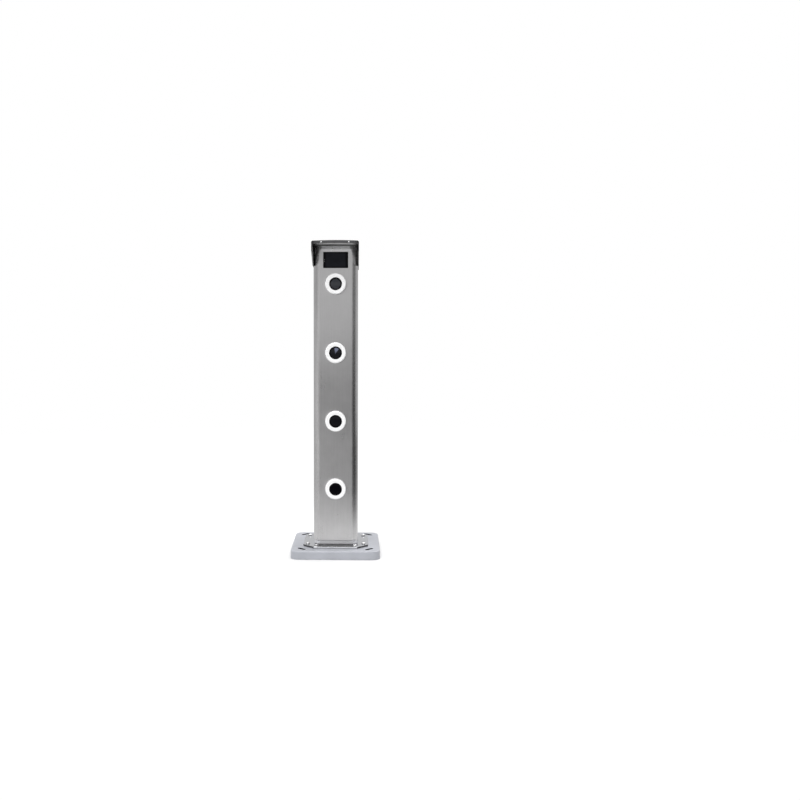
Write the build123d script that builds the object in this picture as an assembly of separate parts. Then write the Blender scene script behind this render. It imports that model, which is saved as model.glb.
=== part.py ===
from build123d import *

import math
import os

# Infrared beam detector: a square steel post with a column of beam eyes under a rain hood,
# standing in a welded socket on a cast floor base. Millimetres, +Z up, front towards -Y,
# origin on the floor at the centre of the base.

# Post tube
POST_SIDE = 80.0
POST_WALL = 1.5
POST_CORNER_R = 12.0
POST_BOTTOM_Z = 26.0
POST_TOP_Z = 555.0

# Beam eyes, counted from the top one down
EYE_COUNT = 4
EYE_DROP = 66.9
EYE_RISE = 94.6

# Cast base
BASE_SIDE = 160.0
BASE_HEIGHT = 15.2
BASE_CORNER_R = 15.0
BASE_EDGE_R = 2.5
BASE_FOOT_R = 0.8
BASE_DRAFT = 1.5
BASE_SKIN = 6.5
BASE_RIM = 7.0
BASE_RIB = 4.0
BASE_HUB_R = 27.0
BASE_HUB_BORE_R = 19.0
BASE_BOSS_R = 6.0
ANCHOR_CIRCLE_R = 85.6
ANCHOR_SLOT_LENGTH = 19.0
ANCHOR_SLOT_WIDTH = 6.8
ANCHOR_BOSS_WALL = 4.0

# Octagonal foot plate, its screws and the gasket below it
FOOT_SHOW = 18.7
FOOT_CORNER = 19.6
FOOT_THICKNESS = 2.5
FOOT_EDGE_R = 0.6
FOOT_SCREW_EDGE = 8.2
FOOT_SCREW_STAGGER = 15.9
FOOT_SCREW_R = 2.0
FOOT_SCREW_HEAD_R = 3.5
FOOT_SCREW_HEAD_H = 2.4
FOOT_SCREW_GRIP = 8.0
GASKET_THICKNESS = 0.8
GASKET_INSET = 0.6
WASHER_R = 4.2
WASHER_THICKNESS = 0.6

# Socket that the post stands in
SOCKET_WALL = 3.0
SOCKET_ENTRY = 39.0
SOCKET_FIT = 0.1
SOCKET_SCREW_SPACING = 40.0
SOCKET_SCREW_R = 2.5
SOCKET_SCREW_HEAD_R = 4.6
SOCKET_SCREW_HEAD_H = 2.6
SOCKET_SCREW_RISE = 19.0

# Cable gland in the foot plate
GLAND_THREAD_R = 10.0
GLAND_THREAD_L = 9.5
GLAND_FLATS = 24.0
GLAND_FLATS_H = 6.0
GLAND_DOME_R = 11.2
GLAND_DOME_H = 14.0
GLAND_DOME_EDGE_R = 5.2
GLAND_BORE_R = 5.0
GLAND_NUT_H = 4.5
GLAND_SEAL_THICKNESS = 1.5
GLAND_SEAL_R = 11.6

# Eye: ring bezel with a threaded barrel, window, seal, nut and beam module
BEZEL_R = 18.6
BEZEL_PROUD = 8.0
BEZEL_EDGE_R = 2.2
BEZEL_LIP = 2.0
BEZEL_OPENING_R = 11.55
BEZEL_STEP_R = 14.6
BEZEL_STEP_H = 0.3
BARREL_R = 15.0
BARREL_L = 14.0
BARREL_BORE_R = 12.75
WINDOW_R = 12.65
WINDOW_THICKNESS = 3.0
WINDOW_RISE = 0.8
SEAL_WALL = 1.9
SEAL_THICKNESS = 1.0
EYE_NUT_FLATS = 36.0
EYE_NUT_H = 5.0
MODULE_SIDE = 30.0
MODULE_DEPTH = 18.0
MODULE_FLANGE_H = 2.0
MODULE_TUBE_R = 9.0
MODULE_TUBE_DEPTH = 11.0
MODULE_DIODE_R = 2.5
MODULE_CORNER_R = 2.0
MODULE_PLUG_WIDTH = 12.0
MODULE_PLUG_HEIGHT = 6.0
MODULE_PLUG_DEPTH = 3.0

# Rail clamped behind the front wall by the eye nuts
RAIL_WIDTH = 56.0
RAIL_THICKNESS = 1.5
RAIL_MARGIN = 21.0

# Circuit boards behind the rail; a chip's height on its board is a share of half the board
BOARD_WIDTH = 50.0
BOARD_GAP = 8.25
BOARD_THICKNESS = 1.6
BOARD_STANDOFF = 15.0
BOARD_HOLE_INSET = 4.0
BOARD_SCREW_R = 1.5
BOARD_SCREW_HEAD_R = 2.8
BOARD_SCREW_HEAD_H = 1.8
BOARD_SCREW_GRIP = 6.0
STANDOFF_FLATS = 5.5
CHIP_HEIGHT = 2.2
CONTROL_CHIPS = [(0, 0.21, 14, 14), (-12, -0.37, 8, 10), (12, -0.37, 10, 6), (0, 0.71, 18, 5)]
POWER_CHIPS = [(-12, 0.05, 9, 9), (10, 0.74, 12, 6)]
TERMINAL_WAYS = 6
TERMINAL_PITCH = 6.0
TERMINAL_DEPTH = 12.0
TERMINAL_HEIGHT = 10.0
TERMINAL_MARGIN = 1.0
TERMINAL_SCREW_R = 2.0
TERMINAL_SCREW_DEPTH = 2.0
TERMINAL_WIRE = 3.6
TERMINAL_WIRE_LEVEL = 4.0
RELAY_SIZE = (16.0, 20.0, 12.0)
RELAY_PLACE = (14.0, 0.21)
RELAY_CORNER_R = 1.0

# Display
DISPLAY_DROP = 24.2
DISPLAY_WIDTH = 44.3
DISPLAY_HEIGHT = 28.4
DISPLAY_CORNER_R = 0.8
DISPLAY_PROUD = 0.5
DISPLAY_FLANGE = 2.4
DISPLAY_FLANGE_T = 1.5
DISPLAY_FRAME_WIDTH = 56.0
DISPLAY_FRAME_HEIGHT = 39.0
DISPLAY_FRAME_DEPTH = 5.0
DISPLAY_PANEL_WIDTH = 40.0
DISPLAY_PANEL_HEIGHT = 24.0
DISPLAY_PANEL_DEPTH = 4.0
DISPLAY_BEVEL = 0.3
DISPLAY_CHIP = 12.0
STUD_INSET = 2.6
STUD_R = 1.5
STUD_OVER = 4.0
STUD_NUT_FLATS = 5.5
STUD_NUT_H = 2.4

# Top cap
CAP_THICKNESS = 3.4
CAP_SKIRT = 12.0
CAP_SKIRT_WALL = 2.5
CAP_BOSS_R = 5.0
CAP_BOSS_FLOOR = 2.0
CAP_NOTCH_MARGIN = 2.0
CAP_GAP = 0.1

# Rain hood folded from sheet
HOOD_SHEET = 1.2
HOOD_REACH = 46.0
HOOD_CROWN = 1.0
HOOD_BEND_R = 3.0
HOOD_CHEEK_FRONT_DROP = 14.0
HOOD_CHEEK_FOOT_DROP = 42.0
HOOD_CHEEK_OVERLAP = 4.0
HOOD_CHEEK_R = 4.0
HOOD_LIP = 4.3
HOOD_BACK_DROP = 20.0
HOOD_SCREW_SPACING = 44.0
HOOD_SCREW_R = 2.0
HOOD_SCREW_HEAD_R = 4.0
HOOD_SCREW_HEAD_H = 2.2
TRIM_THICKNESS = 1.0
TRIM_SHOW = 0.5
RIVET_X = 24.0
RIVET_HEAD_R = 1.6
RIVET_R = 1.0
RIVET_HEAD_H = 0.8
RIVET_RISE = 0.9
RIVET_ROUND = 0.6
RIVET_TAIL_R = 1.4
RIVET_TAIL_H = 0.4

# Rounding of a screw's head, as a share of its height
HEAD_ROUND = 0.6

# Clearances shared by several fits
SLIDE = 0.1
SCREW_PLAY = 0.25
THREAD_PLAY = 0.05
TAP_RUNOUT = 1.0

# Places and sizes that follow from the sizes above
FRONT_Y = -POST_SIDE / 2
FOOT_SIDE = POST_SIDE + 2 * FOOT_SHOW
FOOT_SCREW_FAR = FOOT_SIDE / 2 - FOOT_SCREW_EDGE
FOOT_SCREW_NEAR = FOOT_SCREW_FAR - FOOT_SCREW_STAGGER
EYE_TOP_Z = POST_TOP_Z - EYE_DROP
EYE_LOW_Z = POST_BOTTOM_Z + EYE_RISE
EYE_PITCH = (EYE_TOP_Z - EYE_LOW_Z) / (EYE_COUNT - 1)
DISPLAY_Z = POST_TOP_Z - DISPLAY_DROP
HOOD_FRONT_Y = FRONT_Y - HOOD_REACH
HOOD_CHEEK_FRONT_Z = POST_TOP_Z - HOOD_CHEEK_FRONT_DROP
HOOD_CHEEK_FOOT_Z = POST_TOP_Z - HOOD_CHEEK_FOOT_DROP
HOOD_CHEEK_FOOT_Y = FRONT_Y + HOOD_CHEEK_OVERLAP
FOOT_Z = BASE_HEIGHT + GASKET_THICKNESS
FOOT_TOP_Z = FOOT_Z + FOOT_THICKNESS
POST_INNER = POST_SIDE - 2 * POST_WALL
SOCKET_SIDE = POST_INNER - 2 * SOCKET_FIT
SOCKET_TOP_Z = POST_BOTTOM_Z + SOCKET_ENTRY
RAIL_BACK = -POST_WALL - RAIL_THICKNESS
NUT_BACK = RAIL_BACK - EYE_NUT_H
WINDOW_FACE = BEZEL_PROUD - BEZEL_LIP
WINDOW_BACK = WINDOW_FACE - WINDOW_THICKNESS
MODULE_SEAT = -BARREL_L
BOARD_FACE = RAIL_BACK - BOARD_STANDOFF
BOARD_BACK = BOARD_FACE - BOARD_THICKNESS
BOARD_HEIGHT = EYE_PITCH - MODULE_SIDE - 2 * BOARD_GAP
PANE_BACK = -POST_WALL - DISPLAY_FLANGE_T
FRAME_BACK = PANE_BACK - DISPLAY_FRAME_DEPTH
DISPLAY_BOARD_BACK = FRAME_BACK - BOARD_THICKNESS
CAP_TOP_Z = POST_TOP_Z + CAP_THICKNESS
HOOD_HALF = POST_SIDE / 2 + CAP_GAP + HOOD_SHEET
HOOD_TOP_Z = CAP_TOP_Z + CAP_GAP + HOOD_SHEET
HOOD_LIP_Z = HOOD_TOP_Z - HOOD_LIP

EYES = [EYE_TOP_Z - EYE_PITCH * i for i in range(EYE_COUNT)]
BOARD_Z = {
    "control": EYE_TOP_Z - 1.5 * EYE_PITCH,
    "power": EYE_TOP_Z - 2.5 * EYE_PITCH,
}
FOOT_SCREW_SPOTS = [
    (sx * x, sy * y)
    for x, y in ((FOOT_SCREW_FAR, FOOT_SCREW_NEAR), (FOOT_SCREW_NEAR, FOOT_SCREW_FAR))
    for sx in (-1, 1)
    for sy in (-1, 1)
]


def on_front(z, x=0.0):
    """A place on the post's front face: local +Z points out of the face, local +Y points up."""
    return Pos(x, FRONT_Y, z) * Rot(90, 0, 0)


def slab(shape, low, high):
    """A flat outline raised from one level to another."""
    return extrude(Plane.XY.offset(low) * shape, high - low)


def rod(radius, low, high):
    return slab(Circle(radius), low, high)


def ring(outer, inner, low, high):
    return slab(Circle(outer) - Circle(inner), low, high)


def hexagon(flats):
    return RegularPolygon(flats / 2, 6, major_radius=False)


def corners(width, height):
    return [(sx * width / 2, sy * height / 2) for sx in (-1, 1) for sy in (-1, 1)]


def top_edges(body):
    return body.faces().sort_by(Axis.Z)[-1].edges()


def dome_screw(head_r, head_h, shank_r, shank_l):
    """A pan-head screw seated at z 0, head up."""
    head = fillet(top_edges(rod(head_r, 0, head_h)), head_h * HEAD_ROUND)
    return head + rod(shank_r, -shank_l, 0)


def chamfered_square(side, corner):
    square = Rectangle(side, side)
    return chamfer(square.vertices(), corner)


# Base, foot and socket


def anchor_slot(width, length):
    """One arc slot on the anchor circle, on the diagonal."""
    sweep_deg = math.degrees((length - width) / ANCHOR_CIRCLE_R)
    return SlotArc(CenterArc((0, 0), ANCHOR_CIRCLE_R, 45 - sweep_deg / 2, sweep_deg), width)


def base_plate():
    """Cast base: drafted block with a ribbed underside, anchor slots and tapped screw bosses."""
    block = extrude(
        RectangleRounded(BASE_SIDE, BASE_SIDE, BASE_CORNER_R), BASE_HEIGHT, taper=BASE_DRAFT
    )
    block = fillet(top_edges(block), BASE_EDGE_R)
    block = fillet(block.faces().sort_by(Axis.Z)[0].edges(), BASE_FOOT_R)

    pocket_side = BASE_SIDE - 2 * BASE_RIM
    pocket = RectangleRounded(pocket_side, pocket_side, BASE_CORNER_R - BASE_RIM)
    for angle in (0, 45, 90, 135):
        pocket -= Rot(0, 0, angle) * Rectangle(2 * BASE_SIDE, BASE_RIB)
    pocket -= Circle(BASE_HUB_R)
    for x, y in FOOT_SCREW_SPOTS:
        pocket -= Pos(x, y) * Circle(BASE_BOSS_R)
    boss = anchor_slot(
        ANCHOR_SLOT_WIDTH + 2 * ANCHOR_BOSS_WALL, ANCHOR_SLOT_LENGTH + 2 * ANCHOR_BOSS_WALL
    )
    slot = anchor_slot(ANCHOR_SLOT_WIDTH, ANCHOR_SLOT_LENGTH)
    for quarter in range(4):
        pocket -= Rot(0, 0, 90 * quarter) * boss
    block -= slab(pocket, 0, BASE_HEIGHT - BASE_SKIN)
    for quarter in range(4):
        block -= slab(Rot(0, 0, 90 * quarter) * slot, 0, BASE_HEIGHT)
    block -= rod(BASE_HUB_BORE_R, 0, BASE_HEIGHT)
    for x, y in FOOT_SCREW_SPOTS:
        block -= Pos(x, y) * rod(
            FOOT_SCREW_R + THREAD_PLAY,
            BASE_HEIGHT - FOOT_SCREW_GRIP - TAP_RUNOUT,
            BASE_HEIGHT,
        )
    return block


def foot_plate():
    """Octagonal steel plate that carries the socket and is screwed to the base."""
    plate = slab(chamfered_square(FOOT_SIDE, FOOT_CORNER), FOOT_Z, FOOT_TOP_Z)
    plate = fillet(top_edges(plate), FOOT_EDGE_R)
    for x, y in FOOT_SCREW_SPOTS:
        plate -= Pos(x, y) * rod(FOOT_SCREW_R + SCREW_PLAY, FOOT_Z, FOOT_TOP_Z)
    return plate - rod(GLAND_THREAD_R + SCREW_PLAY, FOOT_Z, FOOT_TOP_Z)


def foot_washers():
    washer = ring(
        WASHER_R, FOOT_SCREW_R + SCREW_PLAY, FOOT_TOP_Z, FOOT_TOP_Z + WASHER_THICKNESS
    )
    return [Pos(x, y) * washer for x, y in FOOT_SCREW_SPOTS]


def foot_screws():
    screw = dome_screw(
        FOOT_SCREW_HEAD_R,
        FOOT_SCREW_HEAD_H,
        FOOT_SCREW_R,
        WASHER_THICKNESS + FOOT_THICKNESS + GASKET_THICKNESS + FOOT_SCREW_GRIP,
    )
    return [Pos(x, y, FOOT_TOP_Z + WASHER_THICKNESS) * screw for x, y in FOOT_SCREW_SPOTS]


def socket_outline(side):
    """A rounded square that follows the post's inner corner at the given side."""
    return RectangleRounded(side, side, POST_CORNER_R - (POST_SIDE - side) / 2)


def back_spots():
    """Places of the socket screws on the post's back face, local +Z pointing out of it."""
    z = POST_BOTTOM_Z + SOCKET_SCREW_RISE
    return [
        Pos(side * SOCKET_SCREW_SPACING / 2, POST_SIDE / 2, z) * Rot(-90, 0, 0)
        for side in (-1, 1)
    ]


def post_socket():
    """Square stub tube welded on the foot plate, tapped for the post's screws."""
    outline = socket_outline(SOCKET_SIDE) - socket_outline(SOCKET_SIDE - 2 * SOCKET_WALL)
    tube = slab(outline, FOOT_TOP_Z, SOCKET_TOP_Z)
    depth = POST_WALL + SOCKET_FIT + SOCKET_WALL
    for spot in back_spots():
        tube -= spot * rod(SOCKET_SCREW_R + THREAD_PLAY, -depth - TAP_RUNOUT, 0)
    return tube


def foot_gasket():
    """Rubber sheet between the base and the foot plate, open over the hub."""
    outline = chamfered_square(FOOT_SIDE - 2 * GASKET_INSET, FOOT_CORNER)
    outline -= Circle(BASE_HUB_BORE_R)
    for x, y in FOOT_SCREW_SPOTS:
        outline -= Pos(x, y) * Circle(FOOT_SCREW_R + SCREW_PLAY)
    return slab(outline, BASE_HEIGHT, FOOT_Z)


def socket_screws():
    length = POST_WALL + SOCKET_FIT + SOCKET_WALL
    screw = dome_screw(SOCKET_SCREW_HEAD_R, SOCKET_SCREW_HEAD_H, SOCKET_SCREW_R, length)
    return [spot * screw for spot in back_spots()]


# Cable gland


def gland_seal():
    return ring(
        GLAND_SEAL_R,
        GLAND_THREAD_R + SLIDE,
        FOOT_TOP_Z,
        FOOT_TOP_Z + GLAND_SEAL_THICKNESS,
    )


def cable_gland():
    """Gland body with its clamping dome, bored through for the cable."""
    seat = FOOT_TOP_Z + GLAND_SEAL_THICKNESS
    neck = seat + GLAND_FLATS_H
    dome = rod(GLAND_DOME_R, neck, neck + GLAND_DOME_H)
    dome = fillet(top_edges(dome), GLAND_DOME_EDGE_R)
    body = slab(hexagon(GLAND_FLATS), seat, neck) + dome
    body += rod(GLAND_THREAD_R, FOOT_Z - GLAND_THREAD_L, seat)
    return body - rod(GLAND_BORE_R, FOOT_Z - GLAND_THREAD_L, neck + GLAND_DOME_H)


def gland_nut():
    outline = hexagon(GLAND_FLATS) - Circle(GLAND_THREAD_R + THREAD_PLAY)
    return slab(outline, FOOT_Z - GLAND_NUT_H, FOOT_Z)


# Post


def display_opening(margin=0.0):
    return RectangleRounded(
        DISPLAY_WIDTH + 2 * margin, DISPLAY_HEIGHT + 2 * margin, DISPLAY_CORNER_R + margin
    )


def post_tube():
    """Square tube with the eye holes, the display opening and the holes for its screws."""
    outline = socket_outline(POST_SIDE) - socket_outline(POST_INNER)
    tube = slab(outline, POST_BOTTOM_Z, POST_TOP_Z)
    for z in EYES:
        tube -= on_front(z) * rod(BARREL_R + SCREW_PLAY, -POST_WALL, 0)
    tube -= on_front(DISPLAY_Z) * slab(display_opening(SLIDE), -POST_WALL, 0)
    for spot in back_spots():
        tube -= spot * rod(SOCKET_SCREW_R + SCREW_PLAY, -POST_WALL, 0)
    return tube


# Beam eyes, each drawn on the post's front face with local +Z outwards


def lens_bezel():
    """Ring bezel, its threaded barrel and the groove for its seal, as one turned piece."""
    flange = ring(BEZEL_R, BEZEL_OPENING_R, 0, BEZEL_PROUD)
    rim = top_edges(flange).sort_by(lambda edge: edge.radius)[-1]
    flange = fillet(rim, BEZEL_EDGE_R)
    flange -= ring(BEZEL_STEP_R, BEZEL_OPENING_R, BEZEL_PROUD - BEZEL_STEP_H, BEZEL_PROUD)
    body = flange + ring(BARREL_R, BARREL_BORE_R, -BARREL_L, 0)
    body -= rod(BARREL_BORE_R, -BARREL_L, WINDOW_FACE)
    return body - seal_ring(0.0)


def seal_ring(play):
    middle = (BEZEL_R + BARREL_R) / 2
    half = SEAL_WALL / 2 - play
    return ring(middle + half, middle - half, 0, SEAL_THICKNESS)


def lens_window():
    """Dark filter behind the bezel's lip, gently domed inside the opening."""
    dome_r = BEZEL_OPENING_R - SLIDE
    sphere_r = (dome_r**2 + WINDOW_RISE**2) / (2 * WINDOW_RISE)
    dome = Pos(0, 0, WINDOW_FACE + WINDOW_RISE - sphere_r) * Sphere(sphere_r)
    dome &= rod(dome_r, WINDOW_FACE, BEZEL_PROUD)
    return rod(WINDOW_R, WINDOW_BACK, WINDOW_FACE) + dome


def eye_nut():
    outline = hexagon(EYE_NUT_FLATS) - Circle(BARREL_R + THREAD_PLAY)
    return slab(outline, NUT_BACK, RAIL_BACK)


def beam_module():
    """Optical tube with its diode, a flange that seats on the barrel, and the housing."""
    front = MODULE_SEAT - MODULE_FLANGE_H
    back = front - MODULE_DEPTH
    body = slab(RectangleRounded(MODULE_SIDE, MODULE_SIDE, MODULE_CORNER_R), back, front)
    body += rod(BARREL_R, front, MODULE_SEAT)
    body += rod(BARREL_BORE_R - SLIDE, MODULE_SEAT, WINDOW_BACK)
    plug_y = MODULE_SIDE / 2 - MODULE_CORNER_R - MODULE_PLUG_HEIGHT / 2
    plug = Pos(0, plug_y) * Rectangle(MODULE_PLUG_WIDTH, MODULE_PLUG_HEIGHT)
    body += slab(plug, back - MODULE_PLUG_DEPTH, back)
    floor = WINDOW_BACK - MODULE_TUBE_DEPTH
    body -= rod(MODULE_TUBE_R, floor, WINDOW_BACK)
    body += rod(MODULE_DIODE_R, floor, floor + MODULE_DIODE_R)
    return body + Pos(0, 0, floor + MODULE_DIODE_R) * Sphere(MODULE_DIODE_R)


def module_rail():
    """Flat steel strip behind the front wall, clamped by the eye nuts."""
    low = EYES[-1] - RAIL_MARGIN
    high = EYES[0] + RAIL_MARGIN
    middle = (low + high) / 2
    outline = RectangleRounded(RAIL_WIDTH, high - low, RAIL_THICKNESS * 2)
    for z in EYES:
        outline -= Pos(0, z - middle) * Circle(BARREL_R + SCREW_PLAY)
    return on_front(middle) * slab(outline, RAIL_BACK, -POST_WALL)


# Circuit boards


def board_holes():
    return corners(BOARD_WIDTH - 2 * BOARD_HOLE_INSET, BOARD_HEIGHT - 2 * BOARD_HOLE_INSET)


def circuit_board(z, chips):
    """A board on its standoffs, with its chips soldered on the back."""
    outline = RectangleRounded(BOARD_WIDTH, BOARD_HEIGHT, BOARD_THICKNESS)
    for x, y in board_holes():
        outline -= Pos(x, y) * Circle(BOARD_SCREW_R + SLIDE)
    board = slab(outline, BOARD_BACK, BOARD_FACE)
    for x, rise, width, height in chips:
        chip = Pos(x, rise * BOARD_HEIGHT / 2) * Rectangle(width, height)
        board += slab(chip, BOARD_BACK - CHIP_HEIGHT, BOARD_BACK)
    return on_front(z) * board


def control_board():
    return circuit_board(BOARD_Z["control"], CONTROL_CHIPS)


def power_board():
    return circuit_board(BOARD_Z["power"], POWER_CHIPS)


def board_standoffs():
    outline = hexagon(STANDOFF_FLATS) - Circle(BOARD_SCREW_R + THREAD_PLAY)
    post = slab(outline, BOARD_FACE, RAIL_BACK)
    return [on_front(z) * Pos(x, y) * post for z in BOARD_Z.values() for x, y in board_holes()]


def board_screws():
    screw = dome_screw(
        BOARD_SCREW_HEAD_R, BOARD_SCREW_HEAD_H, BOARD_SCREW_R, BOARD_THICKNESS + BOARD_SCREW_GRIP
    )
    seat = Pos(0, 0, BOARD_BACK) * Rot(180, 0, 0)
    return [
        on_front(z) * Pos(x, y) * seat * screw for z in BOARD_Z.values() for x, y in board_holes()
    ]


def terminal_block():
    """Screw terminals along the lower edge of the power board."""
    length = TERMINAL_WAYS * TERMINAL_PITCH
    back = BOARD_BACK - TERMINAL_DEPTH
    block = slab(Rectangle(length, TERMINAL_HEIGHT), back, BOARD_BACK)
    screw_hole = rod(TERMINAL_SCREW_R, back, back + TERMINAL_SCREW_DEPTH)
    wire_hole = Pos(0, -TERMINAL_HEIGHT / 2, BOARD_BACK - TERMINAL_WIRE_LEVEL) * Box(
        TERMINAL_WIRE, TERMINAL_HEIGHT, TERMINAL_WIRE
    )
    for i in range(TERMINAL_WAYS):
        x = (i - (TERMINAL_WAYS - 1) / 2) * TERMINAL_PITCH
        block -= Pos(x) * (screw_hole + wire_hole)
    low = -BOARD_HEIGHT / 2 + 2 * BOARD_HOLE_INSET + TERMINAL_MARGIN
    return on_front(BOARD_Z["power"]) * Pos(0, low + TERMINAL_HEIGHT / 2) * block


def power_relay():
    width, height, depth = RELAY_SIZE
    case = slab(RectangleRounded(width, height, RELAY_CORNER_R), BOARD_BACK - depth, BOARD_BACK)
    x, rise = RELAY_PLACE
    return on_front(BOARD_Z["power"]) * Pos(x, rise * BOARD_HEIGHT / 2) * case


# Display


def display_window():
    """Dark pane in the post's opening, with a flange behind the wall."""
    pane = slab(display_opening(), -POST_WALL, DISPLAY_PROUD)
    pane = chamfer(top_edges(pane), DISPLAY_BEVEL)
    flange = slab(display_opening(DISPLAY_FLANGE), PANE_BACK, -POST_WALL)
    return on_front(DISPLAY_Z) * (pane + flange)


def stud_spots():
    return corners(DISPLAY_FRAME_WIDTH - 2 * STUD_INSET, DISPLAY_FRAME_HEIGHT - 2 * STUD_INSET)


def display_frame():
    """Carrier that presses the pane on the wall and holds the display panel."""
    outline = RectangleRounded(DISPLAY_FRAME_WIDTH, DISPLAY_FRAME_HEIGHT, STUD_INSET)
    opening = Rectangle(DISPLAY_PANEL_WIDTH + 2 * SLIDE, DISPLAY_PANEL_HEIGHT + 2 * SLIDE)
    frame = slab(outline, FRAME_BACK, -POST_WALL)
    frame -= slab(opening, FRAME_BACK, -POST_WALL)
    frame -= slab(display_opening(DISPLAY_FLANGE + SLIDE), PANE_BACK, -POST_WALL)
    for x, y in stud_spots():
        frame -= Pos(x, y) * rod(STUD_R + SLIDE, FRAME_BACK, -POST_WALL)
    return on_front(DISPLAY_Z) * frame


def display_panel():
    outline = Rectangle(DISPLAY_PANEL_WIDTH, DISPLAY_PANEL_HEIGHT)
    return on_front(DISPLAY_Z) * slab(outline, PANE_BACK - DISPLAY_PANEL_DEPTH, PANE_BACK)


def display_board():
    outline = RectangleRounded(DISPLAY_FRAME_WIDTH, DISPLAY_FRAME_HEIGHT, STUD_INSET)
    for x, y in stud_spots():
        outline -= Pos(x, y) * Circle(STUD_R + SLIDE)
    board = slab(outline, DISPLAY_BOARD_BACK, FRAME_BACK)
    chip = Rectangle(DISPLAY_CHIP, DISPLAY_CHIP)
    driver = slab(chip, DISPLAY_BOARD_BACK - CHIP_HEIGHT, DISPLAY_BOARD_BACK)
    pillar = slab(
        Rectangle(DISPLAY_PANEL_WIDTH / 2, DISPLAY_PANEL_HEIGHT / 2),
        FRAME_BACK,
        PANE_BACK - DISPLAY_PANEL_DEPTH,
    )
    return on_front(DISPLAY_Z) * (board + driver + pillar)


def display_studs():
    stud = rod(STUD_R, DISPLAY_BOARD_BACK - STUD_OVER, -POST_WALL)
    return [on_front(DISPLAY_Z) * Pos(x, y) * stud for x, y in stud_spots()]


def display_nuts():
    outline = hexagon(STUD_NUT_FLATS) - Circle(STUD_R + THREAD_PLAY)
    nut = slab(outline, DISPLAY_BOARD_BACK - STUD_NUT_H, DISPLAY_BOARD_BACK)
    return [on_front(DISPLAY_Z) * Pos(x, y) * nut for x, y in stud_spots()]


# Cap and rain hood


def crowned(half, top, crown, bend):
    """A cross-section in X and Z with an arched top, standing on the cheeks' lower edge."""
    shoulder = top - crown
    foot = HOOD_CHEEK_FOOT_Z
    arch = ThreePointArc((-half, shoulder), (0, top), (half, shoulder))
    sides = Polyline((half, shoulder), (half, foot), (-half, foot), (-half, shoulder))
    face = make_face(arch + sides)
    upper = face.vertices().sort_by(Axis.Y)[-2:]
    return fillet(upper, bend)


def along_y(section, low, high):
    """A section drawn in X and Z, run from one Y to another."""
    return extrude(Plane((0, low, 0), x_dir=(1, 0, 0), z_dir=(0, -1, 0)) * section, low - high)


def below_arch(middle):
    """All that lies under the hood's arch once it is lowered to a level at its middle."""
    return crowned(2 * HOOD_HALF, middle, 4 * HOOD_CROWN, HOOD_BEND_R)


def hood_screw_spots():
    return [(0, side * HOOD_SCREW_SPACING / 2) for side in (-1, 1)]


def top_cap():
    """Plug that closes the tube, arched on top like the hood, with bosses for its screws."""
    half = POST_SIDE / 2
    block = along_y(crowned(half, CAP_TOP_Z, HOOD_CROWN, HOOD_BEND_R), -half, half)
    flange = block & slab(socket_outline(POST_SIDE), POST_TOP_Z, CAP_TOP_Z)
    plug_side = POST_INNER - 2 * SLIDE
    skirt = slab(
        socket_outline(plug_side) - socket_outline(plug_side - 2 * CAP_SKIRT_WALL),
        POST_TOP_Z - CAP_SKIRT,
        POST_TOP_Z,
    )
    room = Box(DISPLAY_FRAME_WIDTH + 2 * CAP_NOTCH_MARGIN, POST_SIDE / 2, 2 * CAP_SKIRT)
    skirt -= Pos(0, -POST_SIDE / 2, POST_TOP_Z - CAP_SKIRT) * room
    cap = flange + skirt
    for x, y in hood_screw_spots():
        cap += Pos(x, y) * rod(CAP_BOSS_R, POST_TOP_Z - CAP_SKIRT, POST_TOP_Z)
        cap -= Pos(x, y) * rod(
            HOOD_SCREW_R + THREAD_PLAY, POST_TOP_Z - CAP_SKIRT + CAP_BOSS_FLOOR, HOOD_TOP_Z
        )
    return cap


def cheek_profile():
    """The hood seen from the side, in Y and Z."""
    back = HOOD_HALF
    top = HOOD_TOP_Z
    points = [
        (HOOD_FRONT_Y, HOOD_CHEEK_FRONT_Z),
        (HOOD_CHEEK_FOOT_Y, HOOD_CHEEK_FOOT_Z),
        (back, HOOD_CHEEK_FOOT_Z),
    ]
    outline = make_face(Polyline((HOOD_FRONT_Y, top), *points, (back, top), close=True))
    lower = outline.vertices().sort_by(Axis.Y)[:3]
    return fillet(lower, HOOD_CHEEK_R)


def hood():
    """Rain hood folded from one sheet: arched top, two cheeks, a front lip and a back flange."""
    outer = crowned(HOOD_HALF, HOOD_TOP_Z, HOOD_CROWN, HOOD_BEND_R)
    inner = crowned(
        HOOD_HALF - HOOD_SHEET, HOOD_TOP_Z - HOOD_SHEET, HOOD_CROWN, HOOD_BEND_R - HOOD_SHEET
    )
    shell = along_y(outer - inner, HOOD_FRONT_Y, HOOD_HALF)
    lip_section = outer - below_arch(HOOD_LIP_Z)
    lip = along_y(lip_section, HOOD_FRONT_Y, HOOD_FRONT_Y + HOOD_SHEET)
    flange_section = outer - Pos(0, HOOD_CHEEK_FOOT_Z) * Rectangle(
        4 * HOOD_HALF, 2 * (HOOD_TOP_Z - HOOD_BACK_DROP - HOOD_CHEEK_FOOT_Z)
    )
    flange = along_y(flange_section, HOOD_HALF - HOOD_SHEET, HOOD_HALF)
    body = shell + lip + flange
    side = extrude(Plane.YZ * cheek_profile(), HOOD_HALF, both=True)
    body = body & side
    for x, y in hood_screw_spots():
        body -= Pos(x, y) * rod(HOOD_SCREW_R + SCREW_PLAY, POST_TOP_Z, HOOD_TOP_Z)
    for x in (-RIVET_X, RIVET_X):
        body -= rivet_spot(x) * rod(RIVET_R, -HOOD_SHEET, 0)
    return body


def rivet_spot(x):
    """A place on the lip's front face, local +Z outwards."""
    return Pos(x, HOOD_FRONT_Y, HOOD_LIP_Z + RIVET_RISE) * Rot(90, 0, 0)


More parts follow.
